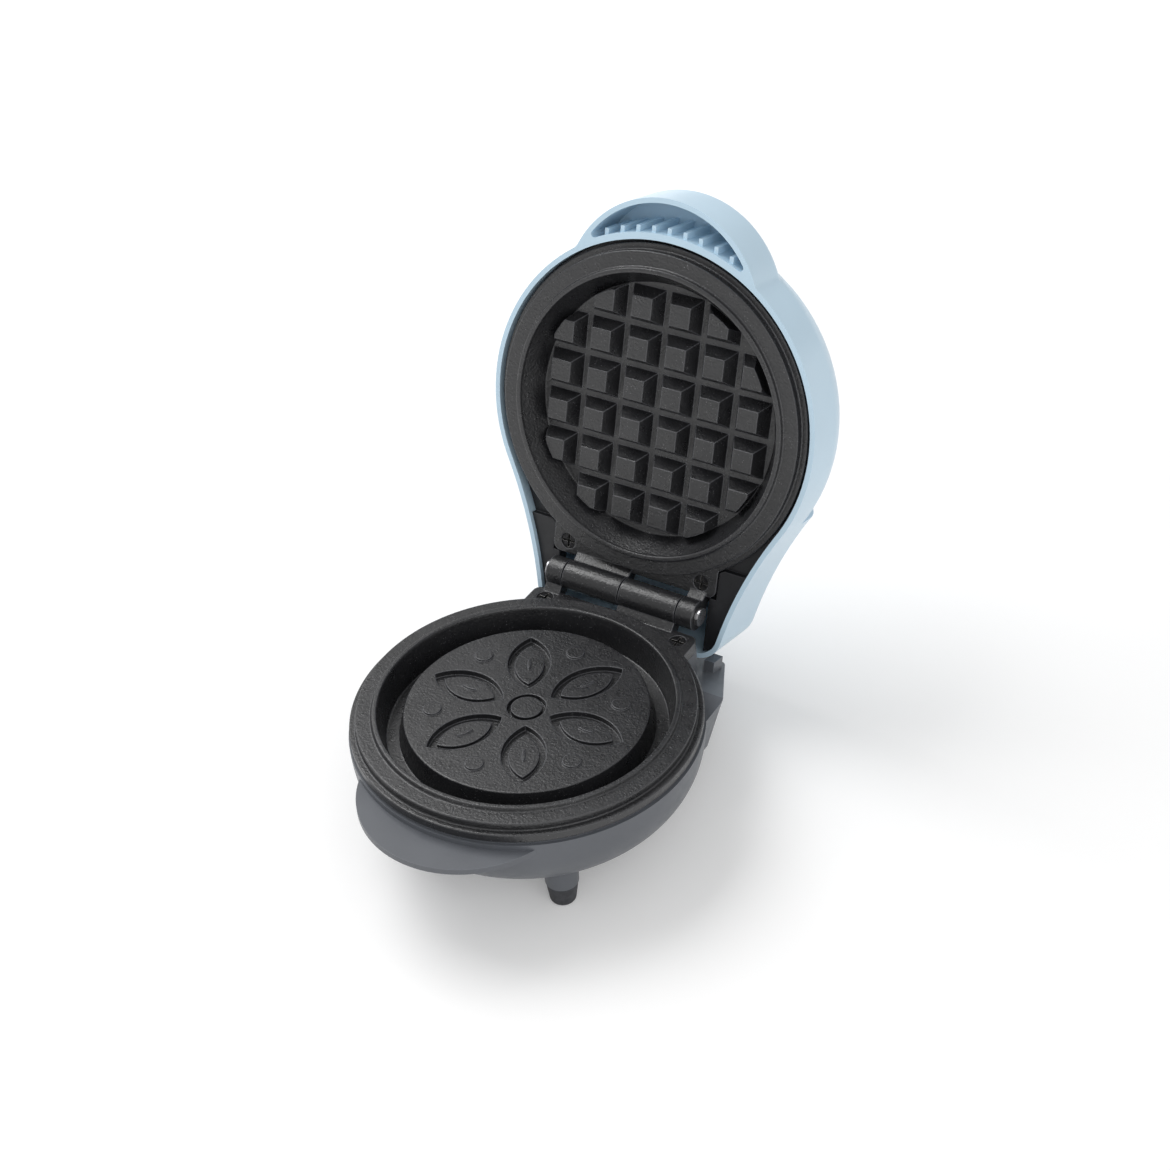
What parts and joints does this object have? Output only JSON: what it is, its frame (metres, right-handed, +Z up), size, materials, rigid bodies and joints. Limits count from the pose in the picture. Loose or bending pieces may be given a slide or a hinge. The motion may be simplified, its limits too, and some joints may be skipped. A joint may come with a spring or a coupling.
{
  "type": "mini waffle maker",
  "caption": "Small round waffle maker standing open: a hinged lid with a waffle-peg plate and finger scoop over a bowl-shaped base with a moated relief plate on peg feet.",
  "frame": {"origin": "on the table, at the middle of the rectangle that the open maker covers, a little behind the centre of the lower plate", "axes": "+Z up, +Y towards the hinge and the raised lid, -Y towards the casing's front lip, +X to the right seen from the front"},
  "size_m": [0.128, 0.2092, 0.1883],
  "materials": {
    "blue_plastic": "light blue moulded plastic, satin gloss",
    "grey_plastic": "dark grey moulded plastic, fine satin grain",
    "black_plastic": "black heat-resistant plastic, satin",
    "nonstick_coating": "black non-stick coating on cast aluminium, fine speckle",
    "dark_rubber": "dark moulded rubber",
    "dark_screws": "black oxide steel",
    "zinc_steel": "zinc-plated steel",
    "element_steel": "heat-tinted steel tube",
    "shield_aluminium": "thin rolled sheet",
    "white_ceramic": "unglazed white ceramic",
    "lens_amber": "translucent amber plastic",
    "lamp_glass": "clear glass"
  },
  "bodies": {
    "base": {"lower_casing": "grey_plastic", "lower_plate": "nonstick_coating", "hinge_pin": "zinc_steel", "lower_hinge_screws": "dark_screws", "casing_screws": "zinc_steel", "feet": "dark_rubber", "cord_bushing": "dark_rubber", "lower_heating_element": "element_steel", "lower_element_clamp": "zinc_steel", "lower_shield_spacers": "zinc_steel", "lower_heat_shield": "shield_aluminium", "lower_shield_screws": "zinc_steel", "thermostat": "white_ceramic", "thermal_fuse": "shield_aluminium", "terminal_block": "white_ceramic"},
    "lid": {"upper_cover": "blue_plastic", "upper_liner": "black_plastic", "upper_plate": "nonstick_coating", "upper_hinge_screws": "dark_screws", "liner_screws": "zinc_steel", "upper_heating_element": "element_steel", "upper_element_clamp": "zinc_steel", "upper_shield_spacers": "zinc_steel", "upper_heat_shield": "shield_aluminium", "upper_shield_screws": "zinc_steel", "indicator_lens": "lens_amber", "indicator_lamp": "lamp_glass"}
  },
  "joints": [
    {"name": "lid_hinge", "type": "hinge", "parent": "base", "child": "lid", "pos_m": [0, 0.03701, 0.05], "axis": [1, 0, 0], "range_deg": [0, 105]}
  ]
}
